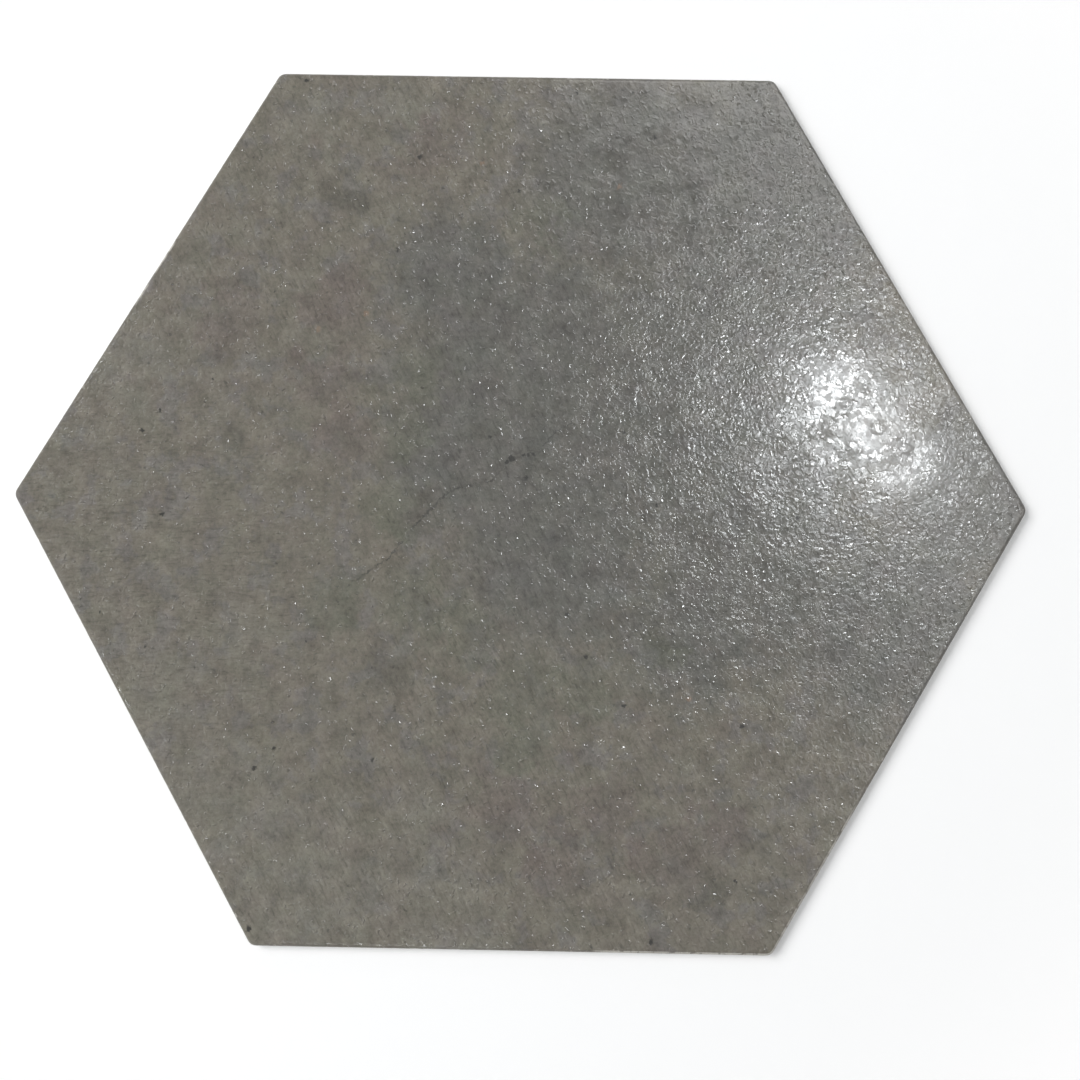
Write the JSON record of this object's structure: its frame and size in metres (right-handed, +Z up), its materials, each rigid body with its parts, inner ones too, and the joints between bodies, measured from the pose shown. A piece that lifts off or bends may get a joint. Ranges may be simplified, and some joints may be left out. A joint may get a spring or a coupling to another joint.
{
  "type": "hexagon vinyl floor tile",
  "caption": "Flat hexagonal vinyl floor tile with a micro-bevelled rim and an embossed grey concrete-look wearing face, bonded edge to edge to cover a floor.",
  "frame": {"origin": "centre of the back, on the floor that the tile lies on", "axes": "+Z up, out of the wearing face; +X towards a corner; two of the six sides run parallel to X"},
  "size_m": [0.2304, 0.2, 0.0025],
  "materials": {
    "vinyl": "satin"
  },
  "bodies": {
    "root": {"hexagon_tile": "vinyl"}
  },
  "joints": []
}
